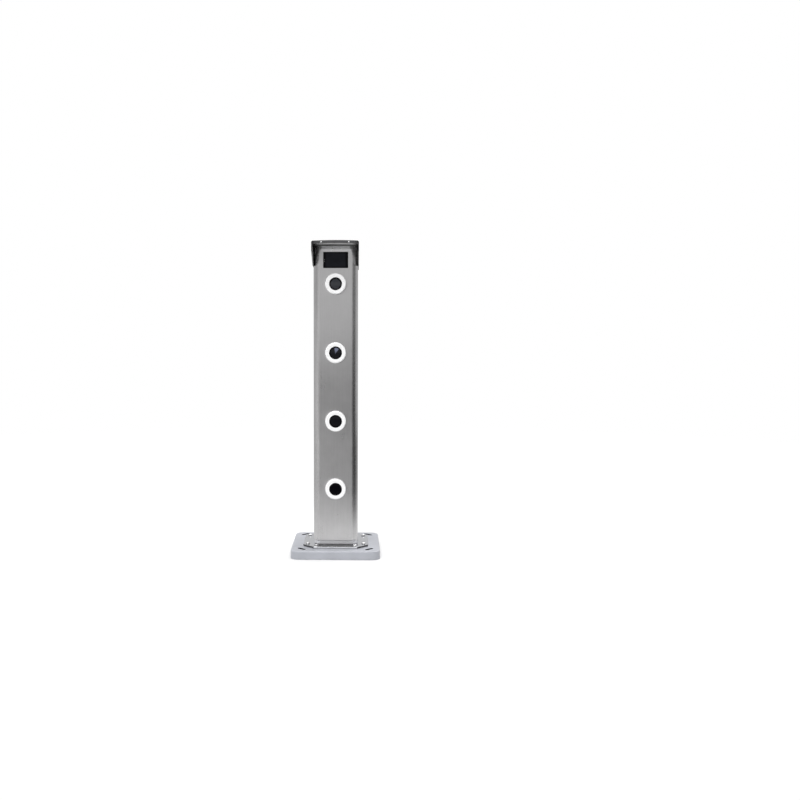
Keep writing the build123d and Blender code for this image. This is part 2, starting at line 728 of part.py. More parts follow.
def hood_trim():
    """Narrow strip riveted behind the lip, showing just below it."""
    half = HOOD_HALF - HOOD_SHEET - SLIDE
    ceiling = HOOD_TOP_Z - HOOD_SHEET - SLIDE
    upper = crowned(half, ceiling, HOOD_CROWN, HOOD_BEND_R - HOOD_SHEET)
    section = upper - below_arch(HOOD_LIP_Z - TRIM_SHOW)
    start = HOOD_FRONT_Y + HOOD_SHEET
    strip = along_y(section, start, start + TRIM_THICKNESS)
    for x in (-RIVET_X, RIVET_X):
        strip -= rivet_spot(x) * rod(RIVET_R, -HOOD_SHEET - TRIM_THICKNESS, -HOOD_SHEET)
    return strip


def hood_rivets():
    """Two rivets through the lip and the strip, closed with a small head at each end."""
    grip = HOOD_SHEET + TRIM_THICKNESS
    head = fillet(top_edges(rod(RIVET_HEAD_R, 0, RIVET_HEAD_H)), RIVET_ROUND)
    rivet = head + rod(RIVET_R, -grip, 0) + rod(RIVET_TAIL_R, -grip - RIVET_TAIL_H, -grip)
    return [rivet_spot(x) * rivet for x in (-RIVET_X, RIVET_X)]


def hood_screws():
    tip = POST_TOP_Z - CAP_SKIRT + CAP_BOSS_FLOOR + TAP_RUNOUT
    length = HOOD_TOP_Z - tip
    screw = dome_screw(HOOD_SCREW_HEAD_R, HOOD_SCREW_HEAD_H, HOOD_SCREW_R, length)
    return [Pos(x, y, HOOD_TOP_Z) * screw for x, y in hood_screw_spots()]


PIECES = {
    "base_plate": base_plate,
    "foot_plate": foot_plate,
    "foot_washers": foot_washers,
    "foot_screws": foot_screws,
    "post_socket": post_socket,
    "foot_gasket": foot_gasket,
    "socket_screws": socket_screws,
    "gland_seal": gland_seal,
    "cable_gland": cable_gland,
    "gland_nut": gland_nut,
    "post_tube": post_tube,
    "module_rail": module_rail,
    "control_board": control_board,
    "power_board": power_board,
    "board_standoffs": board_standoffs,
    "board_screws": board_screws,
    "terminal_block": terminal_block,
    "power_relay": power_relay,
    "display_window": display_window,
    "display_frame": display_frame,
    "display_panel": display_panel,
    "display_board": display_board,
    "display_studs": display_studs,
    "display_nuts": display_nuts,
    "top_cap": top_cap,
    "hood": hood,
    "hood_trim": hood_trim,
    "hood_rivets": hood_rivets,
    "hood_screws": hood_screws,
}

EYE_PIECES = {
    "lens_bezel": lens_bezel,
    "lens_window": lens_window,
    "bezel_seal": lambda: seal_ring(THREAD_PLAY),
    "eye_nut": eye_nut,
    "beam_module": beam_module,
}


def main():
    """Write one STEP file for each piece, the eyes' pieces numbered from the top."""
    os.makedirs("parts", exist_ok=True)
    for name, make in PIECES.items():
        made = make()
        if isinstance(made, list):
            made = Compound(made)
        export_step(made, f"parts/{name}.step")
    for name, make in EYE_PIECES.items():
        piece = make()
        for number, z in enumerate(EYES, start=1):
            export_step(on_front(z) * piece, f"parts/{name}_{number}.step")


if __name__ == "__main__":
    main()
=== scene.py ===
"""Infrared beam detector: finishes, small fasteners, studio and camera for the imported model."""

import logging
import math
from dataclasses import dataclass
from enum import Enum
from typing import Sequence

import bmesh
import bpy
from mathutils import Matrix, Vector


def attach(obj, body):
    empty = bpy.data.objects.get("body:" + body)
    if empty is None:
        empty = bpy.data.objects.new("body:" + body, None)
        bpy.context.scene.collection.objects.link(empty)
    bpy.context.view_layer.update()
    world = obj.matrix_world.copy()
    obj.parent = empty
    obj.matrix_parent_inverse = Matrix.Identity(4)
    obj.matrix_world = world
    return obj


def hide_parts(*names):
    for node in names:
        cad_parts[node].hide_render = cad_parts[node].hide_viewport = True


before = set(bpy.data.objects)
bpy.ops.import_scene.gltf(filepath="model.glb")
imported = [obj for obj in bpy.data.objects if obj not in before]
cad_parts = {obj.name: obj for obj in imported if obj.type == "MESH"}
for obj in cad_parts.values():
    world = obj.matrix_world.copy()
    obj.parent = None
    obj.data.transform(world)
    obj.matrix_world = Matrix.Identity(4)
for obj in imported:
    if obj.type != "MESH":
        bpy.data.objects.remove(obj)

LOG = logging.getLogger("beam_detector")
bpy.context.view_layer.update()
BODY = "root"

Colour = tuple[float, float, float]
Place = tuple[float, float, float]
# Two values: where a mask is 0 and where it is 1
Span = tuple[float, float]
# Places from 0 to 1 along a ramp, each with its grey
Stops = tuple[tuple[float, float], ...]

BLACK = (0.0, 0.0, 0.0)
WHITE = (1.0, 1.0, 1.0)

# Driving sizes, in metres
EYE_TOP_Z = 0.4881
EYE_PITCH = 0.1225
EYE_COUNT = 4
DISPLAY_Z = 0.5308

# Angles past which an edge stays sharp, in degrees
CREASE = 32.0
RING_CREASE = 40.0
SCREW_CREASE = 35.0

# Points of a copied mesh that are nearer than this are one, in metres
MERGE_DISTANCE = 1e-6
# Faces that are more level than this are one, in degrees
LEVEL_ANGLE = 0.4
# How much a large face weighs in the normals beside it
FACE_WEIGHT = 80

# Sockets that share their names with others of the same node
MIX_LOW = 6
MIX_HIGH = 7
MIX_COLOUR = 2
CHANCE_MOST = 3
CHANCE_VALUE = 1

# Share of each finer octave of noise
NOISE_ROUGHNESS = 0.55
# Keeps a length from being 0 at the origin
TINY = 0.0001


class Grain(Enum):
    """The way a brushed or ground surface was worked."""

    UPRIGHT = (1.0, 1.0, 0.012)
    ACROSS = (0.012, 1.0, 1.0)
    NONE = (1.0, 1.0, 1.0)


class Signal:
    """One output of a node, with arithmetic that adds Math nodes."""

    def __init__(self, shader: "Shader", socket: bpy.types.NodeSocket) -> None:
        """Keep the socket and the shader that it belongs to."""
        self.shader = shader
        self.socket = socket

    def _math(self, operation: str, *values: "Signal | float") -> "Signal":
        """Add a Math node that works on the values given."""
        inputs = dict(enumerate(values))
        return self.shader.add("ShaderNodeMath", {"operation": operation}, inputs)

    def __add__(self, other: "Signal | float") -> "Signal":
        """Sum of two values."""
        return self._math("ADD", self, other)

    def __radd__(self, other: float) -> "Signal":
        """Sum of two values."""
        return self._math("ADD", other, self)

    def __sub__(self, other: "Signal | float") -> "Signal":
        """Difference of two values."""
        return self._math("SUBTRACT", self, other)

    def __rsub__(self, other: float) -> "Signal":
        """Difference of two values."""
        return self._math("SUBTRACT", other, self)

    def __mul__(self, other: "Signal | float") -> "Signal":
        """Product of two values."""
        return self._math("MULTIPLY", self, other)

    def __rmul__(self, other: float) -> "Signal":
        """Product of two values."""
        return self._math("MULTIPLY", other, self)

    def power(self, exponent: float) -> "Signal":
        """This value raised to a power."""
        return self._math("POWER", self, exponent)

    def absolute(self) -> "Signal":
        """This value without its sign."""
        return self._math("ABSOLUTE", self)

    def smaller(self, other: "Signal | float") -> "Signal":
        """The smaller of two values."""
        return self._math("MINIMUM", self, other)

    def larger(self, other: "Signal | float") -> "Signal":
        """The larger of two values."""
        return self._math("MAXIMUM", self, other)

    def diagonal(self, other: "Signal") -> "Signal":
        """Length of the diagonal that has these two values as its sides."""
        return (self * self + other * other).power(0.5)

    def swing(self, amount: float) -> "Signal":
        """How far this value is from one half, times an amount."""
        return (self - 0.5) * amount

    def fade(self, start: float, end: float) -> "Signal":
        """Smooth step from 0 at start to 1 at end, with start and end in any order.

        Args:
            start: Value at which the result is 0.
            end: Value at which the result is 1.

        Returns:
            The stepped value.
        """
        settings = {"interpolation_type": "SMOOTHSTEP", "clamp": True}
        if start <= end:
            return self.shader.add("ShaderNodeMapRange", settings, {0: self, 1: start, 2: end})
        return 1.0 - self.fade(end, start)


class Shader:
    """A material's or the world's node tree, and the ways to add to it."""

    def __init__(self, owner: bpy.types.Material | bpy.types.World) -> None:
        """Empty the owner's node tree and keep both."""
        owner.use_nodes = True
        self.owner = owner
        self.tree = owner.node_tree
        self.tree.nodes.clear()

    @classmethod
    def of_material(cls, name: str) -> "Shader":
        """The node tree of a new material."""
        return cls(bpy.data.materials.new(name))

    def add(
        self,
        kind: str,
        settings: dict[str, object] | None = None,
        inputs: dict[int | str, object] | None = None,
        output: int | str = 0,
    ) -> Signal:
        """Add one node.

        Args:
            kind: The node's type.
            settings: Properties of the node, which are set before its sockets.
            inputs: Socket name or number to a value or a Signal.
            output: Name or number of the output to return.

        Returns:
            The chosen output.
        """
        node = self.tree.nodes.new(kind)
        for name, value in (settings or {}).items():
            if name == "stops":
                self._set_stops(node.color_ramp, value)
            else:
                setattr(node, name, value)
        for key, value in (inputs or {}).items():
            if isinstance(value, Signal):
                self.tree.links.new(value.socket, node.inputs[key])
            else:
                node.inputs[key].default_value = value
        return Signal(self, node.outputs[output]) if node.outputs else Signal(self, None)

    @staticmethod
    def _set_stops(ramp: bpy.types.ColorRamp, stops: Stops) -> None:
        """Give a ramp its stops, each a place and a grey."""
        while len(ramp.elements) < len(stops):
            ramp.elements.new(1.0)
        for element, (place, grey) in zip(ramp.elements, stops):
            element.position = place
            element.color = (grey, grey, grey, 1.0)

    def place(
        self, scale: Sequence[float] = (1, 1, 1), shift: Sequence[float] = (0, 0, 0)
    ) -> Signal:
        """Object coordinates, shifted and then stretched.

        Args:
            scale: Stretch along each axis.
            shift: What is added to the coordinates before they are stretched.

        Returns:
            The coordinates.
        """
        where = self.add("ShaderNodeTexCoord", output="Object")
        moved = self.add("ShaderNodeVectorMath", {"operation": "ADD"}, {0: where, 1: tuple(shift)})
        return self.add(
            "ShaderNodeVectorMath", {"operation": "MULTIPLY"}, {0: moved, 1: tuple(scale)}
        )

    def axes(self, vector: Signal) -> tuple[Signal, Signal, Signal]:
        """The three parts of a vector."""
        node = self.add("ShaderNodeSeparateXYZ", {}, {0: vector}).socket.node
        return tuple(Signal(self, node.outputs[i]) for i in range(3))

    def here(self) -> tuple[Signal, Signal, Signal]:
        """X, Y and Z of the point that is shaded, in metres."""
        return self.axes(self.place())

    def noise(self, per_metre: float, grain: Grain, detail: float, seed: float) -> Signal:
        """Noise of a given fineness.

        Args:
            per_metre: How many features there are in a metre.
            grain: Direction in which the noise is drawn out.
            detail: Octaves added.
            seed: Shift that makes this noise differ from others.

        Returns:
            A value round 0.5.
        """
        where = self.place(grain.value, (seed, seed, seed))
        inputs = {"Vector": where, "Scale": per_metre, "Detail": detail}
        inputs["Roughness"] = NOISE_ROUGHNESS
        return self.add("ShaderNodeTexNoise", {}, inputs)

    def blend(self, amount: Signal | float, low: Signal | Colour, high: Signal | Colour) -> Signal:
        """Colour mixed from low to high by an amount."""
        inputs = {0: amount, MIX_LOW: self._rgba(low), MIX_HIGH: self._rgba(high)}
        settings = {"data_type": "RGBA", "clamp_factor": True}
        return self.add("ShaderNodeMix", settings, inputs, output=MIX_COLOUR)

    @staticmethod
    def _rgba(colour: Signal | Colour) -> Signal | tuple[float, ...]:
        """A colour with its alpha, or the link it comes from."""
        return colour if isinstance(colour, Signal) else (*colour, 1.0)

    def bump(self, height: Signal, depth: float) -> Signal:
        """Normal from a height between 0 and 1, where 1 is as deep as said, in metres."""
        inputs = {"Height": height, "Distance": depth, "Strength": 1.0}
        return self.add("ShaderNodeBump", {}, inputs)

    def surface(self, inputs: dict[str, object]) -> bpy.types.Material:
        """End the tree in a Principled shader with these inputs, and return the material."""
        shader = self.add("ShaderNodeBsdfPrincipled", {}, inputs)
        self.add("ShaderNodeOutputMaterial", {}, {"Surface": shader})
        return self.owner


# Finishes


def toned(colour: Colour, share: float) -> Colour:
    """A colour made darker or lighter, at most up to white."""
    return tuple(min(1.0, c * share) for c in colour)


@dataclass(frozen=True)
class PaintedFootShade:
    """Painted shade on the plate and the socket, in front and at the back, and painted highlight on
    the plate's edges.
    """

    # Colour of the painted shade
    colour: Colour = (0.035, 0.034, 0.034)
    strength: float = 0.85
    dulling: float = 0.40
    # Colour of the painted highlight on the plate's edges
    highlight_colour: Colour = (0.97, 0.97, 0.98)
    wander: float = 0.003
    strip_x: Span = (0.0340, 0.0310)
    strip_y: Span = (0.0605, 0.0590)
    plate_z: Span = (0.0187, 0.0186)
    plate_top: Span = (0.0181, 0.0183)
    chamfer: Span = (0.0971, 0.0975)
    seam_z: Span = (0.0197, 0.0191)
    rim_z: Span = (0.0246, 0.0256)
    rim_share: float = 0.6
    edge_y: Span = (0.0575, 0.0580)

    def mask(self, shader: Shader) -> Signal:
        """How strong the painted shade is on the plate's strip and chamfers and under the tube's
        edge, with a darker band at the socket's foot.

        Args:
            shader: The steel's node tree.

        Returns:
            A value from 0 to the painted shade's strength.
        """
        x, y, z = shader.here()
        wander = shader.noise(160.0, Grain.NONE, 2.0, 0.29).swing(self.wander)
        plate = z.fade(*self.plate_z)
        strip = (y.absolute() + wander).fade(*self.strip_y) * x.absolute().fade(*self.strip_x)
        strip = strip * plate * z.fade(*self.plate_top)
        cut = (x.absolute() + y.absolute()).fade(*self.chamfer)
        foot = z.fade(*self.seam_z) * (1.0 - plate)
        rim = z.fade(*self.rim_z) * self.rim_share
        return strip.larger(cut).larger(foot).larger(rim) * self.strength

    def painted_highlight(self, shader: Shader, tint: Signal) -> Signal:
        """The steel's colour, with a painted highlight on the plate's front and back edges."""
        _, y, z = shader.here()
        ground = (1.0 - z.fade(*self.plate_top)) * y.absolute().fade(*self.edge_y)
        return shader.blend(ground, tint, self.highlight_colour)


@dataclass(frozen=True)
class PaintedCheekShade:
    """Painted shade on the post's front corners under the hood's cheeks, and painted highlight on the
    band under the hood.
    """

    # Colour of the painted shade
    colour: Colour = (0.060, 0.060, 0.062)
    strength: float = 0.60
    dulling: float = 0.10
    # Colour of the painted highlight under the hood
    highlight_colour: Colour = (0.95, 0.95, 0.96)
    highlight_z: Span = (0.5455, 0.5500)
    start_x: float = 0.0227
    start_z: float = 0.5527
    lean: float = 0.56
    depth: float = 0.0045
    corner_x: Span = (0.0360, 0.0310)
    front_y: Span = (-0.0330, -0.0350)

    def mask(self, shader: Shader) -> Signal:
        """How strong the painted shade is.

        Args:
            shader: The steel's node tree.

        Returns:
            A value from 0 to the film's strength.
        """
        x, y, z = shader.here()
        drop = (self.start_z - z).larger(0.0)
        inside = x.absolute() - self.start_x - drop * self.lean
        cheek_shade = inside.fade(0.0, self.depth) * y.fade(*self.front_y)
        return cheek_shade * x.absolute().fade(*self.corner_x) * self.strength

    def painted_highlight(self, shader: Shader, tint: Signal) -> Signal:
        """The steel's colour, with a painted highlight in the band straight under the hood."""
        _, y, z = shader.here()
        return shader.blend(z.fade(*self.highlight_z) * y.fade(*self.front_y), tint, self.highlight_colour)


@dataclass(frozen=True)
class BrushedSteel:
    """Stainless steel with a drawn grain, soft blotches and fine scratches."""

    name: str
    tone: Colour
    roughness: float = 0.30
    spread: float = 0.85
    grain: Grain = Grain.UPRIGHT
    depth: float = 0.000006
    contrast: float = 0.10
    # Painted shade and highlight on this steel, if any
    tint: PaintedFootShade | PaintedCheekShade | None = None
    corner: Span | None = None
    corner_roughness: float = 0.26

    def build(self) -> bpy.types.Material:
        """Make the material."""
        shader = Shader.of_material(self.name)
        hair = shader.noise(3200.0, self.grain, 3.0, 0.31)
        streak = shader.noise(520.0, self.grain, 2.0, 0.77)
        cloud = shader.noise(38.0, Grain.NONE, 3.0, 0.13)
        smear = shader.noise(11.0, Grain.NONE, 2.0, 0.47)
        shade = hair * 0.30 + streak * 0.15 + cloud * 0.35 + smear * 0.20
        rough = self.roughness + streak.swing(0.08) + cloud.swing(0.12)
        if self.corner is not None:
            x, y, _ = shader.here()
            turn = x.absolute().fade(*self.corner) * y.absolute().fade(*self.corner)
            rough = rough * (1.0 - turn) + turn * self.corner_roughness
        dark = toned(self.tone, 1.0 - self.contrast)
        light = toned(self.tone, 1.0 + self.contrast)
        tint = shader.blend(shade.fade(0.30, 0.70), dark, light)
        # Painted highlight, then painted shade, which also dulls the steel
        if self.tint is not None:
            tint = self.tint.painted_highlight(shader, tint)
            painted_shade = self.tint.mask(shader)
            tint = shader.blend(painted_shade, tint, self.tint.colour)
            rough = rough + painted_shade * self.tint.dulling
        return shader.surface(
            {
                "Base Color": tint,
                "Metallic": 1.0,
                "Roughness": rough,
                "Anisotropic": self.spread,
                "Normal": shader.bump(hair * 0.6 + streak * 0.4, self.depth),
            }
        )


@dataclass(frozen=True)
class PolishedSteel:
    """Bright steel with faint turning marks."""

    name: str
    tone: Colour = (0.72, 0.72, 0.73)
    roughness: float = 0.16

    def build(self) -> bpy.types.Material:
        """Make the material."""
        shader = Shader.of_material(self.name)
        cloud = shader.noise(900.0, Grain.NONE, 3.0, 0.41)
        return shader.surface(
            {
                "Base Color": shader.blend(cloud, toned(self.tone, 0.86), self.tone),
                "Metallic": 1.0,
                "Roughness": self.roughness + cloud.swing(0.12),
                "Normal": shader.bump(cloud, 0.00001),
            }
        )


@dataclass(frozen=True)
class PaintedSlotShade:
    """Painted shade on the walls of the anchor slots, which lie on a circle on the diagonals."""

    circle: float = 0.0856
    across: Span = (0.0042, 0.0038)
    along: Span = (0.0103, 0.0099)
    below: Span = (0.01516, 0.01500)
    # Colour of the painted shade in the slots
    shading_tone: Colour = (0.006, 0.008, 0.014)

    def mask(self, shader: Shader) -> Signal:
        """Where the slots' walls are, which get the painted shade.

        Args:
            shader: The paint's node tree.

        Returns:
            1 on a slot's wall and 0 elsewhere.
        """
        x, y, z = shader.here()
        across = (x.diagonal(y) - self.circle).absolute().fade(*self.across)
        off = (x.absolute() - y.absolute()).absolute() * math.sqrt(0.5)
        return across * off.fade(*self.along) * z.fade(*self.below)


@dataclass(frozen=True)
class PaintedHoodLight:
    """Painted light on the hood's ceiling and low on its cheeks, and painted shade on the ends of its
    lip.

    The painted light on a cheek grows by forward on the whole way to the lip, and by down per metre.
    """

    # Colour of the painted light
    shading_tone: Colour = (0.74, 0.74, 0.74)
    lip: float = -0.0850
    post: float = -0.0400
    low: float = 0.5562
    over_low: Span = (0.5558, 0.5562)
    under_high: Span = (0.5589, 0.5587)
    behind_lip: Span = (-0.0850, -0.0848)
    before_post: Span = (-0.0380, -0.0400)
    ceiling_x: Span = (0.0395, 0.0270)
    cheek_x: Span = (0.0380, 0.0385)
    cheek_face: Span = (0.0405, 0.0403)
    cheek_level: Span = (0.15, 1.05)
    forward: float = 0.75
    down: float = 35.0
    # Colour of the painted shade at the lip's ends
    deep: Colour = (0.004, 0.004, 0.005)
    bend_x: Span = (0.0290, 0.0405)
    lip_face: Span = (-0.0844, -0.0850)

    def mask(self, shader: Shader) -> Signal:
        """Where the painted light is.

        Args:
            shader: The paint's node tree.

        Returns:
            A value from 0 to 1.
        """
        x, y, z = shader.here()
        level = z.fade(*self.over_low) * z.fade(*self.under_high)
        along = y.fade(*self.behind_lip) * y.fade(*self.before_post)
        ceiling = level * along * x.absolute().fade(*self.ceiling_x)
        ahead = (self.post - y) * (self.forward / (self.post - self.lip))
        below = (self.low - z) * self.down
        cheek = (ahead + below).fade(*self.cheek_level) * along * (1.0 - level)
        cheek = cheek * x.absolute().fade(*self.cheek_face) * x.absolute().fade(*self.cheek_x)
        return ceiling.larger(cheek)

    def painted_lip_shade(self, shader: Shader, tint: Signal) -> Signal:
        """The paint's colour, with painted shade at the lip's ends."""
        x, y, _ = shader.here()
        ends = x.absolute().fade(*self.bend_x) * y.fade(*self.lip_face)
        return shader.blend(ends, tint, self.deep)


@dataclass(frozen=True)
class CastPaint:
    """Satin paint over a casting: fine orange peel and faint clouding."""

    name: str
    tone: Colour
    roughness: float = 0.42
    peel: float = 0.00005
    coat: float = 0.25
    # Painted light and shade laid over the paint, if any
    painted_shading: PaintedSlotShade | PaintedHoodLight | None = None

    def build(self) -> bpy.types.Material:
        """Make the material."""
        shader = Shader.of_material(self.name)
        peel = shader.noise(900.0, Grain.NONE, 2.0, 0.53)
        cloud = shader.noise(26.0, Grain.NONE, 4.0, 0.19)
        speck = shader.noise(2600.0, Grain.NONE, 1.0, 0.91)
        shade = (cloud * 0.75 + speck * 0.25).fade(0.35, 0.65)
        tint = shader.blend(shade, toned(self.tone, 0.93), toned(self.tone, 1.05))
        # Painted light and shade over the paint
        if isinstance(self.painted_shading, PaintedHoodLight):
            tint = self.painted_shading.painted_lip_shade(shader, tint)
        if self.painted_shading is not None:
            tint = shader.blend(self.painted_shading.mask(shader), tint, self.painted_shading.shading_tone)
        return shader.surface(
            {
                "Base Color": tint,
                "Roughness": self.roughness + cloud.swing(0.12),
                "Coat Weight": self.coat,
                "Coat Roughness": 0.22,
                "Normal": shader.bump(peel, self.peel),
            }
        )


@dataclass(frozen=True)
class Moulding:
    """Moulded plastic or rubber with a fine surface texture."""

    name: str
    tone: Colour
    roughness: float = 0.5
    texture: float = 0.00002
    fineness: float = 1500.0
    clouding: float = 0.06

    def build(self) -> bpy.types.Material:
        """Make the material."""
        shader = Shader.of_material(self.name)
        texture = shader.noise(self.fineness, Grain.NONE, 2.0, 0.23)
        cloud = shader.noise(60.0, Grain.NONE, 3.0, 0.67)
        dark = toned(self.tone, 1.0 - self.clouding)
        light = toned(self.tone, 1.0 + self.clouding)
        return shader.surface(
            {
                "Base Color": shader.blend(cloud.fade(0.3, 0.7), dark, light),
                "Roughness": self.roughness + cloud.swing(0.08),
                "Normal": shader.bump(texture, self.texture),
            }
        )


@dataclass(frozen=True)
class BeamFilter:
    """Dark polished filter in front of one eye, with the sensor's cell faint behind it and, where
    asked, a painted reflection across the cell.
    """

    name: str
    centre_z: float
    cell: Colour
    gloss: float
    painted_reflection: float
    rim: Colour = (0.003, 0.003, 0.004)
    cell_radius: float = 0.0088
    iris_radius: float = 0.0066
    line: float = 0.00045
    glint_drop: float = 0.0026
    glint: Span = (0.0012, 0.0003)
    faint: float = 0.25
    # Colour of the painted reflection
    reflection_tone: Colour = (0.15, 0.165, 0.235)
    reflection_left: Span = (-0.0016, -0.0004)
    reflection_right: Span = (0.0010, 0.0002)
    reflection_z: Span = (-0.0070, 0.0080)

    def build(self) -> bpy.types.Material:
        """Make the material."""
        shader = Shader.of_material(self.name)
        x, _, z = shader.axes(shader.place(shift=(0.0, 0.0, -self.centre_z)))
        radius = x.diagonal(z)
        cell = radius.fade(self.cell_radius + self.line, self.cell_radius - self.line)
        edge = (radius - self.iris_radius).absolute().fade(self.line, 0.0)
        glint = x.diagonal(z + self.glint_drop).fade(*self.glint)
        body = shader.blend(cell, self.rim, self.cell)
        marks = edge * self.faint + glint * self.faint
        tint = shader.blend(marks, body, toned(self.cell, 2.0))
        # Painted reflection: a lighter bluish wedge across the cell
        if self.painted_reflection:
            left = (x * 0.94 + z * 0.10).fade(*self.reflection_left)
            right = (x * 0.80 - z * 0.60).fade(*self.reflection_right)
            wedge = left * right * z.fade(*self.reflection_z) * cell
            tint = shader.blend(wedge * self.painted_reflection, tint, self.reflection_tone)
        cloud = shader.noise(220.0, Grain.NONE, 2.0, 0.37)
        return shader.surface(
            {
                "Base Color": tint,
                "Roughness": 0.07 + cloud * 0.03,
                "Specular IOR Level": self.gloss,
            }
        )


@dataclass(frozen=True)
class DisplayPane:
    """Black polished pane with the unlit panel and two pinhead lamps showing through it."""

    name: str
    half_width: float = 0.0177
    half_height: float = 0.0118
    soft: float = 0.0005
    black: Colour = (0.0022, 0.0022, 0.003)
    panel: Colour = (0.0125, 0.0135, 0.0175)
    lamp: Colour = (0.28, 0.28, 0.29)
    lamp_left: float = 0.0201
    lamp_heights: tuple[float, float] = (0.0009, -0.0027)
    lamp_radius: Span = (0.0008, 0.0004)
    gloss: float = 0.05

    def build(self) -> bpy.types.Material:
        """Make the material."""
        shader = Shader.of_material(self.name)
        x, _, z = shader.axes(shader.place(shift=(0.0, 0.0, -DISPLAY_Z)))
        inside_x = x.absolute().fade(self.half_width + self.soft, self.half_width - self.soft)
        inside_z = z.absolute().fade(self.half_height + self.soft, self.half_height - self.soft)
        across = x + self.lamp_left
        upper, lower = [across.diagonal(z - h).fade(*self.lamp_radius) for h in self.lamp_heights]
        segment = shader.noise(500.0, Grain.NONE, 1.0, 0.11)
        shown = inside_x * inside_z * (0.85 + segment * 0.15)
        body = shader.blend(shown, self.black, self.panel)
        return shader.surface(
            {
                "Base Color": shader.blend((upper + lower).smaller(1.0), body, self.lamp),
                "Roughness": 0.10 + segment * 0.02,
                "Specular IOR Level": self.gloss,
            }
        )


@dataclass(frozen=True)
class CircuitBoard:
    """Green lacquered board with copper tracks."""

    name: str
    tone: Colour = (0.012, 0.085, 0.032)

    def build(self) -> bpy.types.Material:
        """Make the material."""
        shader = Shader.of_material(self.name)
        upright = shader.noise(350.0, Grain.UPRIGHT, 1.0, 0.5).fade(0.52, 0.55)
        level = shader.noise(350.0, Grain.ACROSS, 1.0, 0.2).fade(0.55, 0.58)
        tracks = upright.larger(level)
        return shader.surface(
            {
                "Base Color": shader.blend(tracks, self.tone, toned(self.tone, 1.9)),
                "Roughness": 0.35 + upright * 0.1,
                "Normal": shader.bump(tracks, 0.00003),
            }
        )


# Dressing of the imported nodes


def give(node: str, material: bpy.types.Material) -> None:
    """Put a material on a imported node.

    Args:
        node: The node's name.
        material: Its finish.
    """
    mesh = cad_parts[node].data
    if mesh.materials:
        mesh.materials[0] = material
    else:
        mesh.materials.append(material)
    LOG.info("%s finished in %s", node, material.name)


def numbered(stem: str) -> list[str]:
    """The names of one piece of every eye, from the top one down."""
    return [f"{stem}_{i + 1}" for i in range(EYE_COUNT)]


def linked(name: str, data: bpy.types.ID) -> bpy.types.Object:
    """New object in the scene with the data given."""
    item = bpy.data.objects.new(name, data)
    bpy.context.scene.collection.objects.link(item)
    return item


def drawn(name: str, work: bmesh.types.BMesh) -> bpy.types.Object:
    """New object in the scene with the shape that was drawn.

    Args:
        name: Name of the object and of its mesh.
        work: The drawing, which ends here.

    Returns:
        The new object.
    """
    mesh = bpy.data.meshes.new(name)
    work.to_mesh(mesh)
    work.free()
    return linked(name, mesh)


def smooth_copy(node: str, name: str, crease: float = CREASE) -> bpy.types.Object:
    """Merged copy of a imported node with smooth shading, which stands for it.

    Args:
        node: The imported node.
        name: Name of the new piece.
        crease: Angle in degrees past which an edge stays sharp.

    Returns:
        The new piece.
    """
    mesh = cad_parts[node].data.copy()
    mesh.name = name
    work = bmesh.new()
    work.from_mesh(mesh)
    bmesh.ops.remove_doubles(work, verts=work.verts, dist=MERGE_DISTANCE)
    level = math.radians(LEVEL_ANGLE)
    bmesh.ops.dissolve_limit(work, angle_limit=level, verts=work.verts, edges=work.edges)
    work.to_mesh(mesh)
    work.free()
    piece = linked(name, mesh)
    shade(piece, crease)
    return piece


def shade(piece: bpy.types.Object, crease: float = CREASE) -> None:
    """Smooth shading with sharp creases and level flat faces.

    Args:
        piece: The piece to shade.
        crease: Angle in degrees past which an edge stays sharp.
    """
    piece.data.shade_smooth()
    piece.data.set_sharp_from_angle(angle=math.radians(crease))
    flatten = piece.modifiers.new("flat faces", "WEIGHTED_NORMAL")
    flatten.mode = "FACE_AREA"
    flatten.weight = FACE_WEIGHT
    flatten.keep_sharp = True
    settle(piece)


def cut_away(piece: bpy.types.Object, cutter: bpy.types.Object) -> None:
    """Take a cutter's shape out of a piece and delete the cutter.

    Args:
        piece: The piece that is cut.
        cutter: A closed shape, which may cross itself.
    """
    cut = piece.modifiers.new("cut", "BOOLEAN")
    cut.operation = "DIFFERENCE"
    cut.object = cutter
    cut.solver = "EXACT"
    cut.use_self = True
    settle(piece)
    bpy.data.objects.remove(cutter)


def settle(piece: bpy.types.Object) -> None:
    """Turn a piece's modifiers into plain mesh."""
    graph = bpy.context.evaluated_depsgraph_get()
    mesh = bpy.data.meshes.new_from_object(piece.evaluated_get(graph))
    piece.modifiers.clear()
    piece.data = mesh


def stand_in(piece: bpy.types.Object, node: str, material: bpy.types.Material) -> None:
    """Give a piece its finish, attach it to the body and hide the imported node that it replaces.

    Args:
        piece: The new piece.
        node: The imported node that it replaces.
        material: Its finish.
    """
    piece.data.materials.clear()
    piece.data.materials.append(material)
    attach(piece, BODY)
    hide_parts(node)
    LOG.info("%s made, %d faces", piece.name, len(piece.data.polygons))


# Pieces of the part


